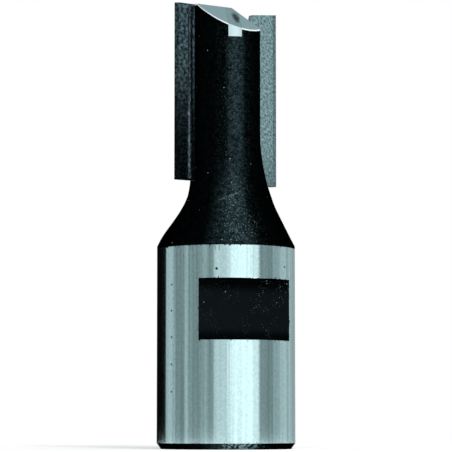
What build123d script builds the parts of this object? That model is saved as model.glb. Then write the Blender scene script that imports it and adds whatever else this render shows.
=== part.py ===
# Two-edged straight router bit with a plain cylindrical shank, left-hand cutting.
# One turned and milled steel body carries two straight carbide plates and a small carbide plunge tip,
# each held in its milled seat by a thin layer of silver braze.
# Millimetres. The origin is the centre of the shank's end face, +Z runs along the axis to the cutting end,
# and +X lies along the cutting plates.
import os
from math import cos, radians, sin, sqrt, tan

from build123d import *

# Shank
shank_diameter = 20.0
shank_length = 29.2
shank_chamfer_width = 0.6
shank_chamfer_height = 0.85

# Clamping recess milled across the shank
recess_bottom = 15.4
recess_height = 8.7
recess_depth = 2.75
recess_angle = -103.5
recess_corner_radius = 0.5

# Neck and core
core_diameter = 12.4
neck_angle = 26.5
neck_fillet_radius = 12.0

# Cutting plates
cutting_diameter = 18.0
cutting_length = 25.7
plate_width = 6.0
plate_thickness = 0.9
rake_offset = 0.0
side_relief = 12.0
end_relief = 5.0
plate_bottom = 38.5

# End face
core_setback = 0.05
end_ridge = 1.4
end_slope = 39.0
gash_start = 0.05
gash_width = 4.75
gash_depth = 2.4
gash_wall_angle = 25.0
gash_side_angle = 12.0
gash_floor_angle = 20.0
right_end_fall = 5.5

# Gullets, milled with a single-angle cutter that runs out in the neck
gullet_cutter_radius = 14.0
gullet_wall_angle = 7.5
gullet_wall_offset = 1.2
right_gullet_run_out = 45.1
left_gullet_run_out = 41.6

# Plunge tip
tip_width = 1.8
tip_height = 5.0
tip_angle = -118.0
tip_lead = 0.25
tip_setback = 0.1
tip_overlap = 1.2

# Braze
braze_thickness = 0.08

# Sizes worked out from the above
shank_radius = shank_diameter / 2
core_radius = core_diameter / 2
cutting_radius = cutting_diameter / 2
end_height = plate_bottom + cutting_length
core_height = end_height - core_setback
plate_edge = sqrt(cutting_radius**2 - rake_offset**2)
plate_inner = plate_edge - plate_width
plate_back = rake_offset + plate_thickness
clear = shank_diameter


def both_sides(cutter):
    """Return a cutter together with its copy half a turn round the axis."""
    return cutter + Rot(0, 0, 180) * cutter


def turned_blank():
    """Bar turned to the shank, the flared neck and the core, before any milling."""
    flare = radians(neck_angle)
    fillet_run = neck_fillet_radius * (1 - cos(flare))
    fillet_rise = neck_fillet_radius * sin(flare)
    cone_rise = (shank_radius - core_radius - fillet_run) / tan(flare)
    fillet_end = shank_length + cone_rise + fillet_rise
    cone_end = (core_radius + fillet_run, shank_length + cone_rise)
    fillet_middle = (
        core_radius + neck_fillet_radius * (1 - cos(flare / 2)),
        fillet_end - neck_fillet_radius * sin(flare / 2),
    )
    foot = Polyline(
        (0, 0),
        (shank_radius - shank_chamfer_width, 0),
        (shank_radius, shank_chamfer_height),
        (shank_radius, shank_length),
        cone_end,
    )
    fillet_arc = ThreePointArc(cone_end, fillet_middle, (core_radius, fillet_end))
    head = Polyline((core_radius, fillet_end), (core_radius, core_height), (0, core_height), (0, 0))
    outline = make_face(Curve() + [foot, fillet_arc, head])
    return revolve(Plane.XZ * outline, Axis.Z)


def clamping_recess():
    """Flat-bottomed recess across the shank, for the grub screw of the holder."""
    floor = shank_radius - recess_depth
    block = Pos(floor, 0, recess_bottom) * Box(
        clear, 2 * clear, recess_height, align=(Align.MIN, Align.CENTER, Align.MIN)
    )
    floor_edges = block.edges().filter_by(Axis.Y).group_by(Axis.X)[0]
    return Rot(0, 0, recess_angle) * fillet(floor_edges, recess_corner_radius)


def gullet(run_out_height):
    """Chip space before one plate: a straight groove that ends in the curve of the milling cutter."""
    depth = clear
    shift = depth * tan(radians(gullet_wall_angle))
    outer = gullet_wall_offset + gullet_cutter_radius
    section = Polyline(
        (gullet_wall_offset, rake_offset),
        (gullet_wall_offset + shift, rake_offset - depth),
        (outer, rake_offset - depth),
        (outer, rake_offset),
        close=True,
    )
    groove = extrude(make_face(section), end_height)
    run_out = revolve(make_face(section), Axis((outer, 0, 0), (0, 1, 0)))
    return Pos(0, 0, run_out_height) * (groove + run_out)


def end_relief_cut():
    """Steep relief ground on one half of the end face."""
    drop = clear * tan(radians(end_slope))
    wedge_section = Polyline(
        (-end_ridge, core_height),
        (-end_ridge - clear, core_height - drop),
        (-end_ridge - clear, core_height + clear),
        (-end_ridge, core_height + clear),
        close=True,
    )
    return extrude(Plane.YZ * make_face(wedge_section), clear, both=True)


def end_gash():
    """Notch ground across the web and the far half of the end, from the wall beside the plunge tip."""
    rise = tan(radians(gash_floor_angle))
    top = end_height + gash_depth
    low = end_height - gash_depth - clear * rise
    wall = Pos(gash_start, -end_ridge, low) * Rot(0, 0, gash_wall_angle) * Box(
        clear, 2 * clear, top - low, align=(Align.MIN, Align.CENTER, Align.MIN)
    )
    floor_section = Polyline((-clear, low), (2 * gash_depth / rise, top), (-clear, top), close=True)
    return wall & extrude(Plane.YZ * make_face(floor_section), clear, both=True)


def corner_grind():
    """Ground away from the right plate: its inner top corner, and a fall of its end towards the middle."""
    slant = tan(radians(gash_side_angle))
    far_end = gash_start + gash_width
    top = end_height + gash_depth
    low = end_height - clear
    side_section = Polyline(
        (-clear, low),
        (-clear, top),
        (far_end + gash_depth * slant, top),
        (far_end - clear * slant, low),
        close=True,
    )
    corner = end_gash() & extrude(Plane.XZ * make_face(side_section), clear, both=True)
    fall = Pos(plate_edge, 0, end_height) * Rot(0, -right_end_fall, 0) * Box(
        clear, clear, clear, align=(Align.MAX, Align.CENTER, Align.MIN)
    )
    return corner + fall


def plate_seat():
    """Volume milled out of the core for one plate and its braze."""
    return Pos(plate_inner - braze_thickness, rake_offset, plate_bottom - braze_thickness) * Box(
        clear,
        plate_thickness + braze_thickness,
        clear + cutting_length,
        align=(Align.MIN, Align.MIN, Align.MIN),
    )


def tip_block(margin):
    """Block of the plunge tip, larger by a margin at both sides, the inner end and below."""
    outer_reach = core_radius - tip_setback if margin == 0 else clear
    block = Pos(-tip_overlap - margin, -tip_lead - margin, end_height - tip_height - margin) * Box(
        outer_reach + tip_overlap + margin,
        tip_width + 2 * margin,
        clear,
        align=(Align.MIN, Align.MIN, Align.MIN),
    )
    return Rot(0, 0, tip_angle) * block


def end_grinding():
    """Everything ground away at the end once the tip is brazed in."""
    above = Pos(0, 0, core_height) * Cylinder(clear, clear, align=(Align.CENTER, Align.CENTER, Align.MIN))
    return both_sides(end_relief_cut()) + end_gash() + above


def cutting_plate():
    """One carbide plate: flat rake face, relieved edge and relieved end."""
    relief_run = plate_thickness * tan(radians(side_relief))
    plate_section = Polyline(
        (plate_inner, rake_offset),
        (plate_edge, rake_offset),
        (plate_edge - relief_run, plate_back),
        (plate_inner, plate_back),
        close=True,
    )
    plate = Pos(0, 0, plate_bottom) * extrude(make_face(plate_section), cutting_length)
    relief_drop = clear * tan(radians(end_relief))
    top_section = Polyline(
        (rake_offset, end_height),
        (rake_offset + clear, end_height - relief_drop),
        (rake_offset + clear, end_height + clear),
        (rake_offset, end_height + clear),
        close=True,
    )
    top_cut = extrude(Plane.YZ * make_face(top_section), clear, both=True)
    return plate - top_cut


def only_solid(shape):
    """Return the largest solid of a shape."""
    return shape.solids().sort_by(SortBy.VOLUME)[-1]


blank = turned_blank()
gullets = gullet(right_gullet_run_out) + Rot(0, 0, 180) * gullet(left_gullet_run_out)
ground_blank = blank - gullets - end_grinding()
seats = both_sides(plate_seat())
tip_seat = tip_block(braze_thickness)

right_plate = cutting_plate() - corner_grind()
left_plate = Rot(0, 0, 180) * cutting_plate()
plunge_tip = tip_block(0) - gullets - end_grinding() - seats
right_braze = (ground_blank & plate_seat()) - right_plate
left_braze = (ground_blank & (Rot(0, 0, 180) * plate_seat())) - left_plate
tip_braze = (ground_blank & tip_seat) - plunge_tip - seats
tool_body = ground_blank - clamping_recess() - seats - tip_seat

nodes = {
    "tool_body": only_solid(tool_body),
    "right_cutting_plate": only_solid(right_plate),
    "left_cutting_plate": only_solid(left_plate),
    "plunge_tip": only_solid(plunge_tip),
    "right_plate_braze": only_solid(right_braze),
    "left_plate_braze": only_solid(left_braze),
    "plunge_tip_braze": only_solid(tip_braze),
}

os.makedirs("parts", exist_ok=True)
for name, solid in nodes.items():
    solid.label = name
    export_step(solid, f"parts/{name}.step")
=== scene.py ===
import math

import bmesh
import bpy
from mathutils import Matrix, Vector


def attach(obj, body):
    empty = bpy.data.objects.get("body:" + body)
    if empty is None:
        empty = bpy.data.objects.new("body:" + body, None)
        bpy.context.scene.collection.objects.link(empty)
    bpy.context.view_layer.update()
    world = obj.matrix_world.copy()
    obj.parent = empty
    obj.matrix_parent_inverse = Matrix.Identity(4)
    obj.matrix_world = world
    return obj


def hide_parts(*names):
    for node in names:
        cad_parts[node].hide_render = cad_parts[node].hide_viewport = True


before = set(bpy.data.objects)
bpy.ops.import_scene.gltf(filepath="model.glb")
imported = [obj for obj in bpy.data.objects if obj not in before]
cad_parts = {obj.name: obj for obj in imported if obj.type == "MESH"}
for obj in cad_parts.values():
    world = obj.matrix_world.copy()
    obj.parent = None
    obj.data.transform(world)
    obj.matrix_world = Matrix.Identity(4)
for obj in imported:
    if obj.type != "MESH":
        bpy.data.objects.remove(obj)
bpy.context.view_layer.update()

# The white studio: a small round table that the bit stands on, and a ring of upright cards, pale and dark,
# that stands all round it and is closed overhead. The ground shank mirrors the cards as long upright streaks.
# The camera is low and tipped up a little, and looks past the cards to the plain white of the room.
camera_turn = math.radians(34.4)
camera_distance = 0.32378
camera_height = 0.003907
camera_pitch = math.radians(5.004)
room_light = 0.4
ring_sides = 96
ring_radius = 0.6
ring_foot = -0.5
ring_head = 2.2
table_radius = 0.06
table_white = (0.7, 0.7, 0.7)
table_glow = (0.46, 0.56)   # under the bit and away from it
table_glow_reach = (0.02, 0.05)
lamps_aim = Vector((0, 0, 0.04))
cards = (
    (-180, 0.002), (-119, 0.50), (-94, 0.31), (-74, 0.50), (-65, 0.32), (-44, 0.40), (-31, 0.28),
    (-20, 0.65), (1, 1.15), (45, 0.90), (56, 0.27), (82, 0.38), (100, 0.52), (140, 0.38),
)   # each card by the angle where it starts, in degrees to the right of the camera, and its brightness

view_out = Vector((math.sin(camera_turn), math.cos(camera_turn), 0))
view_right = Vector((math.cos(camera_turn), -math.sin(camera_turn), 0))


def new_object(name, data):
    """A new object in the scene."""
    thing = bpy.data.objects.new(name, data)
    bpy.context.scene.collection.objects.link(thing)
    return thing


camera_data = bpy.data.cameras.new("view")
camera_data.lens = 178.04
camera_data.sensor_width = 36.0
camera_data.clip_start = 0.01
camera = new_object("view", camera_data)
camera.location = -view_out * camera_distance + Vector((0, 0, camera_height))
camera.rotation_euler = (math.radians(90) + camera_pitch, 0, -camera_turn)
bpy.context.scene.camera = camera
bpy.context.scene.view_settings.view_transform = "Standard"


def feed(tree, socket, value):
    """Link a socket to another one, or set it to a plain number, vector or colour."""
    if isinstance(value, bpy.types.NodeSocket):
        tree.links.new(value, socket)
    elif socket.type == "RGBA":
        socket.default_value = (*value, 1.0)
    else:
        socket.default_value = value


def math_node(tree, kind, *values):
    """A Math node whose inputs are sockets or plain numbers. Returns its output."""
    node = tree.nodes.new("ShaderNodeMath")
    node.operation = kind
    for socket, value in zip(node.inputs, values):
        feed(tree, socket, value)
    return node.outputs[0]


def vector_node(tree, kind, *values):
    """A Vector Math node whose inputs are sockets or plain vectors. Returns the output that is in use."""
    node = tree.nodes.new("ShaderNodeVectorMath")
    node.operation = kind
    for socket, value in zip(node.inputs, values):
        feed(tree, socket, value)
    return node.outputs["Value" if kind in ("DOT_PRODUCT", "LENGTH") else "Vector"]


def chain(tree, kind, *values):
    """One Math operation carried through several values in turn."""
    result = values[0]
    for value in values[1:]:
        result = math_node(tree, kind, result, value)
    return result


def rise(tree, value, low, high, ends=(0.0, 1.0), shape="SMOOTHSTEP"):
    """A value that goes from the first end at low to the second at high, and stays there beyond."""
    node = tree.nodes.new("ShaderNodeMapRange")
    node.interpolation_type = shape
    tree.links.new(value, node.inputs["Value"])
    for label, number in zip(("From Min", "From Max", "To Min", "To Max"), (low, high, *ends)):
        node.inputs[label].default_value = number
    return node.outputs["Result"]


def colour_bands(tree, value, stops, shape="LINEAR"):
    """A colour ramp through (place, colour) stops."""
    node = tree.nodes.new("ShaderNodeValToRGB")
    ramp = node.color_ramp
    ramp.interpolation = shape
    while len(ramp.elements) < len(stops):
        ramp.elements.new(1.0)
    for element, (place, colour) in zip(ramp.elements, stops):
        element.position = place
        element.color = (*colour, 1.0)
    tree.links.new(value, node.inputs[0])
    return node.outputs[0]


def own_place(tree):
    """A point's place on its piece."""
    return tree.nodes.new("ShaderNodeTexCoord").outputs["Object"]


def seen_by(tree, *kinds):
    """A mask that is 1 for the named kinds of ray and 0 for all others."""
    rays = tree.nodes.new("ShaderNodeLightPath").outputs
    return chain(tree, "MAXIMUM", *[rays[kind] for kind in kinds])


room = bpy.data.worlds.new("studio")
bpy.context.scene.world = room
room.use_nodes = True
room.node_tree.nodes.clear()
room_white = room.node_tree.nodes.new("ShaderNodeBackground")
room_white.inputs["Color"].default_value = (1.0, 1.0, 1.0, 1.0)
room_seen = seen_by(room.node_tree, "Is Camera Ray", "Is Transmission Ray", "Is Glossy Ray")
room_strength = math_node(room.node_tree, "MULTIPLY_ADD", room_seen, 1.0 - room_light, room_light)
room_out = room.node_tree.nodes.new("ShaderNodeOutputWorld")
room.node_tree.links.new(room_strength, room_white.inputs["Strength"])
room.node_tree.links.new(room_white.outputs[0], room_out.inputs[0])


def studio_material(name):
    """A new material with nothing in it yet. Returns the material and its tree."""
    material = bpy.data.materials.new(name)
    material.use_nodes = True
    material.node_tree.nodes.clear()
    return material, material.node_tree


def surface_by(tree, mask, first, second):
    """End a material in its first shader where the mask is 0, and in its second where it is 1."""
    choice = tree.nodes.new("ShaderNodeMixShader")
    for socket, value in zip(choice.inputs, (mask, first.outputs[0], second.outputs[0])):
        tree.links.new(value, socket)
    tree.links.new(choice.outputs[0], tree.nodes.new("ShaderNodeOutputMaterial").inputs[0])


def card_shade(brightness):
    """A card's colour: grey, a little cooler the darker it is."""
    red = 0.86 + 0.12 * min(brightness, 1.0)
    return red * brightness, brightness, 1.01 * brightness


def card_paper():
    """The cards' own glow, one plain shade each. Camera and transmission rays pass through them."""
    material, tree = studio_material("card_paper")
    place = own_place(tree)
    aside = vector_node(tree, "DOT_PRODUCT", place, view_right)
    toward = vector_node(tree, "DOT_PRODUCT", place, -view_out)
    turn = math_node(tree, "ARCTAN2", aside, toward)
    share = math_node(tree, "MULTIPLY_ADD", turn, 0.5 / math.pi, 0.5)
    stops = [((start + 180) / 360, card_shade(brightness)) for start, brightness in cards]
    glow = tree.nodes.new("ShaderNodeEmission")
    tree.links.new(colour_bands(tree, share, stops, "CONSTANT"), glow.inputs["Color"])
    clear = tree.nodes.new("ShaderNodeBsdfTransparent")
    surface_by(tree, seen_by(tree, "Is Camera Ray", "Is Transmission Ray"), glow, clear)
    return material


def table_cloth():
    """White table top that keeps the bit's soft shadow, and is white in the steel's reflections too."""
    material, tree = studio_material("table_white")
    cloth = tree.nodes.new("ShaderNodeBsdfDiffuse")
    cloth.inputs["Color"].default_value = (*table_white, 1.0)
    glow = tree.nodes.new("ShaderNodeEmission")
    away = vector_node(tree, "LENGTH", own_place(tree))
    tree.links.new(rise(tree, away, *table_glow_reach, table_glow, "LINEAR"), glow.inputs["Strength"])
    both = tree.nodes.new("ShaderNodeAddShader")
    tree.links.new(cloth.outputs[0], both.inputs[0])
    tree.links.new(glow.outputs[0], both.inputs[1])
    surface_by(tree, seen_by(tree, "Is Camera Ray", "Is Transmission Ray", "Is Glossy Ray"), cloth, both)
    return material


def round_points(radius, height):
    """Points round the bit's axis at one height, one for each side of the ring."""
    turns = [math.radians(360.0 / ring_sides * side) for side in range(ring_sides)]
    return [(radius * math.cos(turn), radius * math.sin(turn), height) for turn in turns]


def studio_piece(name, points, faces, material):
    """A mesh of the studio as an object."""
    mesh = bpy.data.meshes.new(name)
    mesh.from_pydata(points, [], faces)
    mesh.materials.append(material)
    return new_object(name, mesh)


def soft_box(name, turn, lift, distance, width, height, power):
    """A rectangular lamp, so many degrees right of the camera and above the bit, aimed at its middle."""
    lamp = bpy.data.lights.new(name, "AREA")
    lamp.shape = "RECTANGLE"
    lamp.size = width
    lamp.size_y = height
    lamp.energy = power
    turn, lift = math.radians(turn), math.radians(lift)
    flat = view_right * math.sin(turn) - view_out * math.cos(turn)
    toward = flat * math.cos(lift) + Vector((0, 0, math.sin(lift)))
    box = new_object(name, lamp)
    box.location = lamps_aim + toward * distance
    box.rotation_euler = (-toward).to_track_quat("-Z", "Y").to_euler()


ring_points = round_points(ring_radius, ring_foot) + round_points(ring_radius, ring_head)
sheets = []
for side in range(ring_sides):
    following = (side + 1) % ring_sides
    sheets.append((side, ring_sides + side, ring_sides + following, following))
cover = tuple(range(ring_sides, 2 * ring_sides))
card_ring = studio_piece("cards", ring_points, sheets + [cover], card_paper())
table = studio_piece("table", round_points(table_radius, 0), [tuple(range(ring_sides))], table_cloth())
soft_box("strip_light", turn=27, lift=37, distance=0.45, width=0.05, height=0.42, power=0.95)
soft_box("top_light", turn=40, lift=75, distance=0.55, width=0.45, height=0.45, power=0.25)

# The body, turned from one bar of steel, blackened, and then ground bright on the shank and at the end. The
# black is left in the clamping recess, on the neck and core and on the shank's chamfer, and it has chipped a
# little along the edges of the ground shank.
hair = 1e-5   # how far a finish reaches past the edge where it ends
shank_top = 0.0288
chamfer_top = 0.00085
recess_low = 0.0154
recess_high = 0.0241
recess_floor = 0.00725
recess_turn = math.radians(-103.5)
end_top = 0.06415
end_ridge = 0.0014
end_slope = math.tan(math.radians(39.0))
lip_highlight_width = 0.00020
notch_turn = math.radians(25.0)
notch_fall = math.tan(math.radians(20.0))
notch_floor = 0.0618
notch_wall = 0.00005
notch_low = 0.0575
smooth_below = math.radians(14)
shank_marks = [((-0.00996, -0.00086, high), (4e-4, 2.0e-4, 1.5e-4)) for high in (
    0.00813, 0.01202, 0.01586, 0.01962, 0.02335,
)] + [
    ((-0.00669, -0.00743, 0.0254), (2.2e-4, 2.2e-4, 2.4e-4)),
    ((0.00378, -0.00926, 0.0259), (3.6e-4, 2.4e-4, 1.1e-4)),
]   # each pit or mark by its centre and its half-widths
wear_and_glint_turn = -113.0   # the side of the bit that faces the strip light, where the flecks gather and the chamfer is marked, partly wear and partly painted highlight, in degrees round from the right plate
drip_turn = -145.0
drip_heights = (0.0240, 0.0287)
chip_depth = 0.0016
low_neck = (0.030, 0.041)
recess_right = (-0.0030, 0.0015)
# Where the painted sheen on the black faces, in degrees round, and the heights where it narrows up onto the
# core.
sheen_band_turns = (-119.5, -111.0)
sheen_band_narrows = (0.034, 0.044)
scratch_centre = (-0.00346, -0.00571, 0.0374)
scratch_size = (1.9e-3, 4e-3, 1.6e-4)
scratch_slope = 0.42
steel_streaks = (
    (0.34, (0.46, 0.64, 0.66)), (0.45, (0.60, 0.83, 0.85)),
    (0.54, (0.68, 0.92, 0.94)), (0.70, (0.71, 0.97, 0.98)),
)
mark_colour = (0.035, 0.055, 0.06)
end_dark, end_pale = (0.43, 0.64, 0.69), (0.61, 0.85, 0.90)
# A near-white line along the end facets' lower edge, a painted highlight.
lip_highlight_colour = (0.92, 0.95, 0.95)
soot_shades = (
    (0.36, (0.003, 0.0062, 0.0075)), (0.50, (0.0085, 0.0160, 0.0180)), (0.64, (0.018, 0.031, 0.034)),
)
# The recess's black, and the darker colour painted near its walls as shade.
recess_wall_shade, recess_black = (0.0010, 0.0016, 0.0020), (0.0044, 0.0062, 0.0072)
dust_colour = (0.34, 0.50, 0.53)


def new_group(name, inputs, outputs):
    """An empty shader group with named number inputs and named outputs."""
    group = bpy.data.node_groups.new(name, "ShaderNodeTree")
    for label, value in inputs:
        socket = group.interface.new_socket(label, in_out="INPUT", socket_type="NodeSocketFloat")
        socket.default_value = value
    for label in outputs:
        group.interface.new_socket(label, in_out="OUTPUT", socket_type="NodeSocketFloat")
    return group, group.nodes.new("NodeGroupInput").outputs, group.nodes.new("NodeGroupOutput").inputs


def noise(tree, place, scale, detail=2.0, rough=0.5):
    """A noise texture's value at a place."""
    node = tree.nodes.new("ShaderNodeTexNoise")
    node.inputs["Detail"].default_value = detail
    node.inputs["Roughness"].default_value = rough
    feed(tree, node.inputs["Scale"], scale)
    tree.links.new(place, node.inputs["Vector"])
    return node.outputs["Fac"]


def fleck_group():
    """Small scattered flecks of dust and tiny chips: cells in a metre, a fleck's size, and the share kept."""
    group, put, out = new_group("flecks", [("Cells", 3000.0), ("Size", 0.25), ("Kept", 0.2)], ["Mask"])
    cells = group.nodes.new("ShaderNodeTexVoronoi")
    group.links.new(own_place(group), cells.inputs["Vector"])
    group.links.new(put["Cells"], cells.inputs["Scale"])
    chance = group.nodes.new("ShaderNodeSeparateColor")
    group.links.new(cells.outputs["Color"], chance.inputs[0])
    near = math_node(group, "LESS_THAN", cells.outputs["Distance"], put["Size"])
    kept = math_node(group, "LESS_THAN", chance.outputs[0], put["Kept"])
    group.links.new(chain(group, "MULTIPLY", kept, chance.outputs[1], near), out["Mask"])
    return group


def streak_group():
    """Long upright streaks round a turned surface, with fine grinding lines across them as a height."""
    group, put, out = new_group("streaks", [("Streaks", 900.0), ("Lines", 14000.0)], ["Streak", "Height"])
    place = own_place(group)
    for label, scale, stretch in (
        ("Streak", put["Streaks"], (1.0, 1.0, 0.012)),
        ("Height", put["Lines"], (0.06, 0.06, 1.0)),
    ):
        scaled = vector_node(group, "MULTIPLY", place, stretch)
        group.links.new(noise(group, scaled, scale, detail=3.0), out[label])
    return group


flecks = fleck_group()
streaks = streak_group()


def placed(tree, group, **values):
    """A shader group set in a material with its own values. Returns its outputs."""
    node = tree.nodes.new("ShaderNodeGroup")
    node.node_tree = group
    for name, value in values.items():
        node.inputs[name].default_value = value
    return node.outputs


def inverse(tree, mask):
    """1 where a mask is 0, and 0 where it is 1."""
    return math_node(tree, "SUBTRACT", 1.0, mask)


def mixed(tree, mask, first, second):
    """The first colour where a mask is 0 and the second where it is 1."""
    node = tree.nodes.new("ShaderNodeMix")
    node.data_type = "RGBA"
    for socket, value in zip((node.inputs[0], node.inputs[6], node.inputs[7]), (mask, first, second)):
        feed(tree, socket, value)
    return node.outputs[2]


def scaled_colour(tree, colour, amount):
    """A colour multiplied by a mask or by another colour."""
    shade = mixed(tree, 1.0, colour, amount)
    shade.node.blend_type = "MULTIPLY"
    return shade


def parts_of(tree, place):
    """A place's x, y and z."""
    node = tree.nodes.new("ShaderNodeSeparateXYZ")
    tree.links.new(place, node.inputs[0])
    return node.outputs


def point_at(tree, x, y, z):
    """A place put together from its x, y and z."""
    node = tree.nodes.new("ShaderNodeCombineXYZ")
    for socket, value in zip(node.inputs, (x, y, z)):
        tree.links.new(value, socket)
    return node.outputs[0]


def facing(tree, place, turn, near, far):
    """A mask that is 1 on the side of the bit that faces a direction and 0 away from it."""
    level = vector_node(tree, "NORMALIZE", vector_node(tree, "MULTIPLY", place, (1.0, 1.0, 0.0)))
    turn = math.radians(turn)
    side = (math.cos(turn), math.sin(turn), 0.0)
    return rise(tree, vector_node(tree, "DOT_PRODUCT", level, side), near, far)


def spot(tree, place, centre, size):
    """A soft-edged round mask about one point, with its half-widths along the axes."""
    apart = vector_node(tree, "SUBTRACT", place, centre)
    scaled = vector_node(tree, "MULTIPLY", apart, [1.0 / width for width in size])
    return inverse(tree, rise(tree, vector_node(tree, "LENGTH", scaled), 0.65, 1.05))


def new_finish(name):
    """A new material with one Principled shader. Returns the material, its tree and the shader's inputs."""
    material = bpy.data.materials.new(name)
    material.use_nodes = True
    return material, material.node_tree, material.node_tree.nodes["Principled BSDF"].inputs


def bump(tree, shader, height, strength, distance=0.00003):
    """Small relief on a shader's normal."""
    node = tree.nodes.new("ShaderNodeBump")
    node.inputs["Strength"].default_value = strength
    node.inputs["Distance"].default_value = distance
    tree.links.new(height, node.inputs["Height"])
    tree.links.new(node.outputs[0], shader["Normal"])


def above_relief(tree, y, z):
    """How far straight above the end's steep facets a point lies. It is below 0 in the body."""
    behind = math_node(tree, "SUBTRACT", math_node(tree, "ABSOLUTE", y), end_ridge)
    behind = math_node(tree, "MAXIMUM", behind, 0.0)
    return math_node(tree, "MULTIPLY_ADD", behind, end_slope, math_node(tree, "SUBTRACT", z, end_top))


def oxide_masks(tree, place, x, y, z):
    """The black of the neck, the chamfer and the recess, chipped where it meets the ground shank."""
    ragged = math_node(tree, "SUBTRACT", noise(tree, place, 3200.0, detail=1.0), 0.60)
    chip = math_node(tree, "MULTIPLY", math_node(tree, "MAXIMUM", ragged, 0.0), chip_depth)
    raised = math_node(tree, "ADD", z, chip)
    lowered = math_node(tree, "SUBTRACT", z, chip)
    neck = rise(tree, raised, shank_top - 3 * hair, shank_top - hair)
    chamfer = math_node(tree, "LESS_THAN", lowered, chamfer_top + hair)
    outward = math_node(tree, "MULTIPLY_ADD", y, math.sin(recess_turn), chip)
    outward = math_node(tree, "MULTIPLY_ADD", x, math.cos(recess_turn), outward)
    recess = chain(
        tree, "MULTIPLY",
        math_node(tree, "GREATER_THAN", outward, recess_floor - 2 * hair),
        math_node(tree, "GREATER_THAN", raised, recess_low - hair),
        math_node(tree, "LESS_THAN", lowered, recess_high + hair),
    )
    return neck, chamfer, recess


def end_masks(tree, x, y, z):
    """The ground end with its facets and notch, and a painted highlight along the facets' lower edge."""
    above = above_relief(tree, y, z)
    facet = math_node(tree, "GREATER_THAN", above, -hair)
    facet_and_lip = math_node(tree, "GREATER_THAN", above, -lip_highlight_width)
    lip_highlight = math_node(tree, "MAXIMUM", math_node(tree, "SUBTRACT", facet_and_lip, facet), 0.0)
    past_wall = end_ridge * math.sin(notch_turn) - notch_wall
    past_wall = math_node(tree, "MULTIPLY_ADD", y, math.sin(notch_turn), past_wall)
    past_wall = math_node(tree, "MULTIPLY_ADD", x, math.cos(notch_turn), past_wall)
    above_floor = math_node(tree, "MULTIPLY_ADD", y, -notch_fall, z)
    notch = chain(
        tree, "MULTIPLY",
        math_node(tree, "GREATER_THAN", above_floor, notch_floor - hair),
        math_node(tree, "GREATER_THAN", past_wall, -hair),
        math_node(tree, "GREATER_THAN", z, notch_low),
    )
    return math_node(tree, "MAXIMUM", facet_and_lip, notch), lip_highlight


def ground_shank(tree, place, z, streak):
    """Ground steel with long streaks and a fine mottle, small dark pits, and drips of black at its top."""
    steel = colour_bands(tree, streak, steel_streaks)
    mottle = rise(tree, noise(tree, place, 2400.0, detail=4.0, rough=0.75), 0.32, 0.68)
    steel = scaled_colour(tree, steel, math_node(tree, "MULTIPLY_ADD", mottle, 0.17, 0.89))
    pits = chain(tree, "MAXIMUM", *[spot(tree, place, centre, size) for centre, size in shank_marks])
    dashes = vector_node(tree, "MULTIPLY", place, (1.0, 1.0, 0.16))
    drips = chain(
        tree, "MULTIPLY",
        rise(tree, noise(tree, dashes, 3600.0, detail=3.0, rough=0.7), 0.60, 0.68),
        rise(tree, z, *drip_heights),
        facing(tree, place, drip_turn, 0.80, 0.95),
    )
    marks = math_node(tree, "MAXIMUM", pits, math_node(tree, "MULTIPLY", drips, 0.55))
    return mixed(tree, marks, steel, mark_colour)


def oxide_wear_and_glints(tree, place, x, y, z, chamfer, recess):
    """Pale wear on the black with painted glints: flecks, thick on the low neck and gathered on the side
    facing the strip light, the scratch, and the chamfer's pale marks, partly wear and partly a painted
    highlight where the lamp doesn't reach.
    """
    crowd = math_node(tree, "MULTIPLY_ADD", inverse(tree, rise(tree, z, *low_neck)), 0.75, 0.25)
    # The flecks gather on the side facing the strip light, where they stand partly as painted glints.
    crowd = math_node(tree, "MULTIPLY", crowd, facing(tree, place, wear_and_glint_turn, 0.86, 0.99))
    crowd = math_node(tree, "MULTIPLY_ADD", crowd, 0.92, 0.03)
    crowd = math_node(tree, "MULTIPLY", crowd, inverse(tree, recess))
    swept = chain(
        tree, "MULTIPLY",
        recess,
        rise(tree, noise(tree, place, 420.0, detail=1.0), 0.45, 0.60),
        rise(tree, x, *recess_right, ends=(0.30, 1.0)),
    )
    crowd = math_node(tree, "MULTIPLY_ADD", swept, 0.55, crowd)
    fine = placed(tree, flecks, Cells=6500.0, Size=0.26, Kept=0.34)["Mask"]
    fine = math_node(tree, "MULTIPLY", fine, crowd)
    sparse = placed(tree, flecks, Cells=1300.0, Size=0.11, Kept=0.18)["Mask"]
    sparse = math_node(tree, "MULTIPLY", sparse, 0.8)
    slanted = point_at(tree, x, y, math_node(tree, "MULTIPLY_ADD", x, -scratch_slope, z))
    scratch = chain(
        tree, "MULTIPLY",
        spot(tree, slanted, scratch_centre, scratch_size),
        rise(tree, noise(tree, place, 3600.0, detail=3.0), 0.42, 0.60),
        0.13,
    )
    # The chamfer's pale marks: partly wear, partly a painted highlight on the side facing the strip light.
    rubbed_and_highlight = chain(
        tree, "MULTIPLY",
        chamfer,
        facing(tree, place, wear_and_glint_turn, 0.95, 0.99),
        rise(tree, noise(tree, place, 4200.0), 0.50, 0.58),
        0.8,
    )
    return chain(tree, "MAXIMUM", fine, sparse, scratch, rubbed_and_highlight)


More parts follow.
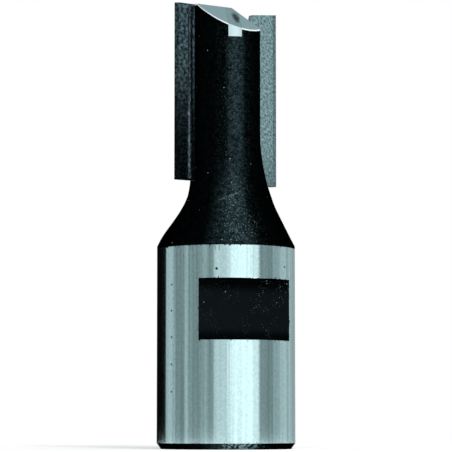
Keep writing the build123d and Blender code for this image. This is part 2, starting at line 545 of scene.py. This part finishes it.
def oxide_colour(tree, place, z, recess):
    """The black's shades: patchy, with a painted sheen as a paler band up the neck and core, and darker in the
    recess, with painted shade along the recess's top and bottom walls.
    """
    soot = colour_bands(tree, noise(tree, place, 3800.0, detail=4.0, rough=0.7), soot_shades)
    # Painted sheen: the black is paler in a band on the side facing the strip light, narrower on the core.
    wide = facing(tree, place, sheen_band_turns[0], 0.90, 0.985)
    narrow = facing(tree, place, sheen_band_turns[1], 0.965, 0.997)
    change = math_node(tree, "SUBTRACT", narrow, wide)
    sheen_band = math_node(tree, "MULTIPLY_ADD", change, rise(tree, z, *sheen_band_narrows), wide)
    patches = rise(tree, noise(tree, place, 1500.0, detail=3.0, rough=0.6), 0.34, 0.60)
    sheen = math_node(
        tree, "MULTIPLY",
        math_node(tree, "MULTIPLY_ADD", sheen_band, 0.68, 0.22),
        math_node(tree, "MULTIPLY_ADD", patches, 0.85, 0.42),
    )
    # Painted shade in the recess: its black is darker along the top and bottom walls than across the middle.
    away_from_recess_walls = math_node(
        tree, "MULTIPLY",
        rise(tree, z, recess_low + 0.0004, recess_low + 0.0018),
        rise(tree, z, recess_high - 0.0007, recess_high - 0.0022),
    )
    recess_black_and_shade = mixed(tree, away_from_recess_walls, recess_wall_shade, recess_black)
    return mixed(tree, recess, scaled_colour(tree, soot, sheen), recess_black_and_shade)


def body_finish():
    """Ground steel on the shank and the end, black oxide elsewhere, split by place on the body."""
    material, tree, shader = new_finish("body_finish")
    place = own_place(tree)
    x, y, z = parts_of(tree, place)
    neck, chamfer, recess = oxide_masks(tree, place, x, y, z)
    ground_end, lip_highlight = end_masks(tree, x, y, z)
    black = chain(tree, "MAXIMUM", neck, chamfer, recess)
    black = math_node(tree, "MULTIPLY", black, inverse(tree, ground_end))

    grinding = placed(tree, streaks, Streaks=1100.0, Lines=16000.0)
    shank = ground_shank(tree, place, z, grinding["Streak"])
    end_grey = mixed(tree, noise(tree, place, 2600.0, detail=3.0), end_dark, end_pale)
    bright = mixed(tree, ground_end, shank, mixed(tree, lip_highlight, end_grey, lip_highlight_colour))
    wear_and_glints = math_node(tree, "MULTIPLY", oxide_wear_and_glints(tree, place, x, y, z, chamfer, recess), black)
    # The black carries its painted sheen and the recess's painted shade, under the dust and flecks.
    soot = mixed(tree, wear_and_glints, oxide_colour(tree, place, z, recess), dust_colour)
    feed(tree, shader["Base Color"], mixed(tree, black, bright, soot))
    feed(tree, shader["Metallic"], inverse(tree, math_node(tree, "MAXIMUM", lip_highlight, wear_and_glints)))
    rough = math_node(tree, "MULTIPLY_ADD", ground_end, 0.20, 0.12)
    feed(tree, shader["Roughness"], math_node(tree, "MULTIPLY_ADD", black, 0.31, rough))
    feed(tree, shader["Specular Tint"], inverse(tree, black))
    grain = math_node(tree, "MULTIPLY", noise(tree, place, 9000.0, detail=3.0), black)
    bump(tree, shader, math_node(tree, "MULTIPLY_ADD", grinding["Height"], 0.12, grain), strength=0.30)
    return material


def smooth_copy(node_name, piece_name, material):
    """A CAD node's own shape with its loose triangles joined, smooth on curves and sharp at edges."""
    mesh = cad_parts[node_name].data.copy()
    mesh.name = piece_name
    shape = bmesh.new()
    shape.from_mesh(mesh)
    bmesh.ops.remove_doubles(shape, verts=shape.verts, dist=1e-7)
    for face in shape.faces:
        face.smooth = True
    for edge in shape.edges:
        edge.smooth = len(edge.link_faces) == 2 and edge.calc_face_angle(0) < smooth_below
    shape.to_mesh(mesh)
    shape.free()
    if mesh.has_custom_normals:
        mesh.attributes.remove(mesh.attributes["custom_normal"])
    mesh.materials.clear()
    mesh.materials.append(material)
    return new_object(piece_name, mesh)


body = smooth_copy("tool_body", "turned_body", body_finish())
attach(body, "root")
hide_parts("tool_body")

# The two cutting plates, sintered carbide brazed into their seats. Only the rake face is ground, to a fine
# even grey with a slightly darker edge. The back is left as it came from the furnace, dark and mottled, and
# darker still towards the neck.
corner_ground_above = 0.0615
edge_wear = (0.00835, 0.00850)
low_darkening = (0.036, 0.046)
grain_slant = 0.45
grain_length = 0.62
ground_carbide = ((0.36, (0.16, 0.28, 0.31)), (0.50, (0.39, 0.60, 0.64)), (0.64, (0.70, 0.92, 0.94)))
raw_carbide = (
    (0.38, (0.010, 0.024, 0.030)), (0.50, (0.058, 0.105, 0.122)), (0.62, (0.175, 0.255, 0.280)),
)
plate_darkening_heights = (0.0390, 0.0640)
plate_darkening_downward = ((0.0, 0.05), (0.18, 0.12), (0.45, 0.34), (0.70, 0.85), (1.0, 1.0))


def carbide_finish():
    """Ground grey on the rake faces and the right plate's ground corner, dark mottled carbide elsewhere."""
    material, tree, shader = new_finish("carbide_finish")
    place = own_place(tree)
    x, y, z = parts_of(tree, place)
    normal = tree.nodes.new("ShaderNodeNewGeometry").outputs["Normal"]
    ground_corner = chain(
        tree, "MULTIPLY",
        rise(tree, vector_node(tree, "DOT_PRODUCT", normal, (-1.0, 0.0, 0.0)), 0.80, 0.90),
        rise(tree, z, corner_ground_above - 0.0001, corner_ground_above + 0.0001),
        math_node(tree, "GREATER_THAN", x, 0.0),
    )
    off_rake = math_node(tree, "GREATER_THAN", math_node(tree, "ABSOLUTE", y), 2 * hair)
    raw = math_node(tree, "MULTIPLY", off_rake, inverse(tree, ground_corner))

    slanted = math_node(tree, "MULTIPLY_ADD", z, grain_slant, x)
    grain_place = point_at(tree, slanted, y, math_node(tree, "MULTIPLY", z, grain_length))
    grain = noise(tree, grain_place, 4000.0, rough=0.6)
    worn_edge = rise(tree, math_node(tree, "ABSOLUTE", x), *edge_wear)
    # The ground rake is darker at its worn edge and towards the bottom.
    edge_wear_and_low_darkening = math_node(tree, "MAXIMUM", worn_edge, inverse(tree, rise(tree, z, *low_darkening)))
    shade = math_node(tree, "MULTIPLY_ADD", edge_wear_and_low_darkening, -0.40, 1.0)
    ground = scaled_colour(tree, colour_bands(tree, grain, ground_carbide), shade)
    skin = colour_bands(tree, noise(tree, place, 2100.0, detail=3.0, rough=0.7), raw_carbide)
    greys = [(height, (grey, grey, grey)) for height, grey in plate_darkening_downward]
    skin = scaled_colour(tree, skin, colour_bands(tree, rise(tree, z, *plate_darkening_heights), greys))
    feed(tree, shader["Base Color"], mixed(tree, raw, ground, skin))
    feed(tree, shader["Roughness"], math_node(tree, "MULTIPLY_ADD", raw, 0.12, 0.36))
    feed(tree, shader["Metallic"], 1.0)
    bump(tree, shader, grain, strength=0.3)
    return material


def finish_node(name, material):
    """Give a CAD node that keeps its own shape its finish."""
    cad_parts[name].data.materials.clear()
    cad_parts[name].data.materials.append(material)


plate_carbide = carbide_finish()
finish_node("right_cutting_plate", plate_carbide)
finish_node("left_cutting_plate", plate_carbide)

# The plunge tip, a small bar of carbide brazed across the near half of the end and ground flush with it.
# Its outer end is left bright, and its top has a dark spot.
tip_turn = math.radians(-118.0)
tip_spot_centre = (-0.00083, -0.00378)
tip_spot_width = 0.00072
tip_spot_length = 0.00170
tip_dark, tip_pale = (0.38, 0.56, 0.59), (0.55, 0.78, 0.82)
tip_spot_colour = (0.018, 0.060, 0.072)
tip_end_colour = (0.45, 0.58, 0.60)


def tip_finish():
    """Bright carbide at the outer end, greyer on the ground top, with the dark spot on it."""
    material, tree, shader = new_finish("tip_finish")
    place = own_place(tree)
    x, y, z = parts_of(tree, place)
    top = math_node(tree, "GREATER_THAN", above_relief(tree, y, z), -hair)
    apart_x = math_node(tree, "SUBTRACT", x, tip_spot_centre[0])
    apart_y = math_node(tree, "SUBTRACT", y, tip_spot_centre[1])
    squares = []
    for turn, reach in ((tip_turn - math.radians(90), tip_spot_width), (tip_turn, tip_spot_length)):
        along = math_node(tree, "MULTIPLY", apart_x, math.cos(turn))
        along = math_node(tree, "MULTIPLY_ADD", apart_y, math.sin(turn), along)
        share = math_node(tree, "DIVIDE", along, reach)
        squares.append(math_node(tree, "MULTIPLY", share, share))
    away = math_node(tree, "SQRT", math_node(tree, "ADD", *squares))
    ragged = math_node(tree, "MULTIPLY_ADD", noise(tree, place, 2500.0, detail=3.0), 0.9, away)
    dark_spot = inverse(tree, rise(tree, ragged, 0.75, 1.55))
    grey = mixed(tree, noise(tree, place, 3000.0, detail=3.0), tip_dark, tip_pale)
    grey = mixed(tree, dark_spot, grey, tip_spot_colour)
    feed(tree, shader["Base Color"], mixed(tree, top, tip_end_colour, grey))
    feed(tree, shader["Roughness"], 0.3)
    feed(tree, shader["Metallic"], math_node(tree, "MULTIPLY_ADD", top, 0.65, 0.35))
    bump(tree, shader, math_node(tree, "MULTIPLY", noise(tree, place, 7000.0), top), strength=0.2)
    return material


finish_node("plunge_tip", tip_finish())

# The silver braze in the seats, and the bead of it that has run out along the back of each plate, close beside
# the body. A bead has a painted highlight along its outer edge, fainter higher up, and is sooty towards the
# body.
# It is a lumpy round rod here, and most of it lies inside the plate.
bead_radius = 0.00050
bead_x = 0.00685
bead_y = 0.00062
bead_ends = (0.03870, 0.06370)
bead_lumps = 0.00022
bead_highlight_edge = (bead_x + 0.00018, bead_x + 0.00024)
bead_highlight_fades = (0.0525, 0.0495)   # the painted highlight on a bead's edge is faint above the first height and full below the second
tip_seat_outward = -0.00480
silver_shades = ((0.38, (0.025, 0.035, 0.045)), (0.52, (0.075, 0.100, 0.120)), (0.66, (0.22, 0.28, 0.31)))
silver_soot = ((0.42, (0.004, 0.008, 0.010)), (0.54, (0.016, 0.026, 0.031)), (0.66, (0.09, 0.12, 0.14)))
silver_ground = (0.34, 0.49, 0.53)


def braze_finish():
    """Pale silver with dull patches, sooty on a bead's inner side with a painted highlight along its outer
    edge, and wiped bright at the tip's end.
    """
    material, tree, shader = new_finish("braze_finish")
    place = own_place(tree)
    x, y, z = parts_of(tree, place)
    aside = math_node(tree, "ABSOLUTE", x)
    patches = noise(tree, place, 1600.0, detail=4.0, rough=0.7)
    silver = colour_bands(tree, patches, silver_shades)
    # A painted highlight along the bead's outer edge, faint high up.
    outer_edge_highlight = rise(tree, aside, *bead_highlight_edge)
    highlight_strength = rise(tree, z, *bead_highlight_fades, ends=(0.2, 1.0))
    bright = math_node(tree, "MULTIPLY", outer_edge_highlight, highlight_strength)
    seam = math_node(tree, "GREATER_THAN", aside, bead_x - bead_radius)
    sooty = math_node(tree, "MULTIPLY", seam, inverse(tree, bright))
    soot = colour_bands(tree, noise(tree, place, 4200.0, detail=3.0, rough=0.8), silver_soot)
    silver = mixed(tree, sooty, silver, soot)
    ground = math_node(tree, "GREATER_THAN", above_relief(tree, y, z), -2 * hair)
    silver = mixed(tree, ground, silver, silver_ground)
    outward = math_node(tree, "LESS_THAN", y, tip_seat_outward)
    wiped = math_node(tree, "MULTIPLY", outward, inverse(tree, ground))
    feed(tree, shader["Base Color"], mixed(tree, wiped, silver, tip_end_colour))
    feed(tree, shader["Roughness"], 0.42)
    feed(tree, shader["Metallic"], math_node(tree, "MULTIPLY_ADD", wiped, -0.65, 1.0))
    lumps = math_node(tree, "MULTIPLY", patches, inverse(tree, wiped))
    bump(tree, shader, lumps, strength=0.5, distance=0.00005)
    return material


def bead_nodes(material):
    """Geometry Nodes that sweep a round rod along a curve and make its skin lumpy with a noise."""
    tree = bpy.data.node_groups.new("seam_bead", "GeometryNodeTree")
    face = tree.interface
    face.new_socket("Geometry", in_out="INPUT", socket_type="NodeSocketGeometry")
    named = [
        face.new_socket(label, in_out="INPUT", socket_type="NodeSocketFloat")
        for label in ("Radius", "Lumps", "Seed")
    ]
    face.new_socket("Geometry", in_out="OUTPUT", socket_type="NodeSocketGeometry")
    put = tree.nodes.new("NodeGroupInput").outputs
    rows = tree.nodes.new("GeometryNodeResampleCurve")
    rows.inputs["Count"].default_value = 140
    ring = tree.nodes.new("GeometryNodeCurvePrimitiveCircle")
    ring.inputs["Resolution"].default_value = 10
    sweep = tree.nodes.new("GeometryNodeCurveToMesh")
    sweep.inputs["Fill Caps"].default_value = True
    wave = tree.nodes.new("ShaderNodeTexNoise")
    wave.noise_dimensions = "4D"
    wave.inputs["Scale"].default_value = 1700.0
    push = tree.nodes.new("ShaderNodeVectorMath")
    push.operation = "SCALE"
    shift = tree.nodes.new("GeometryNodeSetPosition")
    real = tree.nodes.new("GeometryNodeRealizeInstances")
    paint = tree.nodes.new("GeometryNodeSetMaterial")
    paint.inputs["Material"].default_value = material
    out = tree.nodes.new("NodeGroupOutput").inputs
    swell = math_node(tree, "SUBTRACT", wave.outputs["Fac"], 0.5)
    swell = math_node(tree, "MULTIPLY", swell, put["Lumps"])
    for source, target in (
        (put["Geometry"], rows.inputs["Curve"]),
        (put["Radius"], ring.inputs["Radius"]),
        (rows.outputs["Curve"], sweep.inputs["Curve"]),
        (ring.outputs["Curve"], sweep.inputs["Profile Curve"]),
        (put["Seed"], wave.inputs["W"]),
        (tree.nodes.new("GeometryNodeInputNormal").outputs[0], push.inputs[0]),
        (swell, push.inputs["Scale"]),
        (sweep.outputs["Mesh"], shift.inputs["Geometry"]),
        (push.outputs["Vector"], shift.inputs["Offset"]),
        (shift.outputs["Geometry"], real.inputs["Geometry"]),
        (real.outputs["Geometry"], paint.inputs["Geometry"]),
        (paint.outputs["Geometry"], out["Geometry"]),
    ):
        tree.links.new(source, target)
    return tree, [socket.identifier for socket in named]


silver_braze = braze_finish()
finish_node("right_plate_braze", silver_braze)
finish_node("left_plate_braze", silver_braze)
finish_node("plunge_tip_braze", silver_braze)
bead_tree, (radius_id, lumps_id, seed_id) = bead_nodes(silver_braze)


def seam_bead(name, x, y, seed):
    """One bead as a plain mesh, upright at x and y."""
    line = bpy.data.curves.new(name + "_line", "CURVE")
    line.dimensions = "3D"
    spline = line.splines.new("POLY")
    spline.points.add(1)
    for point, z in zip(spline.points, bead_ends):
        point.co = (x, y, z, 1.0)
    guide = new_object(name + "_line", line)
    sweep = guide.modifiers.new("bead", "NODES")
    sweep.node_group = bead_tree
    sweep[radius_id] = bead_radius
    sweep[lumps_id] = bead_lumps
    sweep[seed_id] = seed
    bpy.context.view_layer.update()
    mesh = bpy.data.meshes.new_from_object(guide.evaluated_get(bpy.context.evaluated_depsgraph_get()))
    guide.modifiers.remove(sweep)
    bpy.data.objects.remove(guide)
    mesh.name = name
    for face in mesh.polygons:
        face.use_smooth = True
    piece = new_object(name, mesh)
    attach(piece, "root")


seam_bead("left_plate_bead", -bead_x, -bead_y, 3.0)
seam_bead("right_plate_bead", bead_x, bead_y, 8.0)
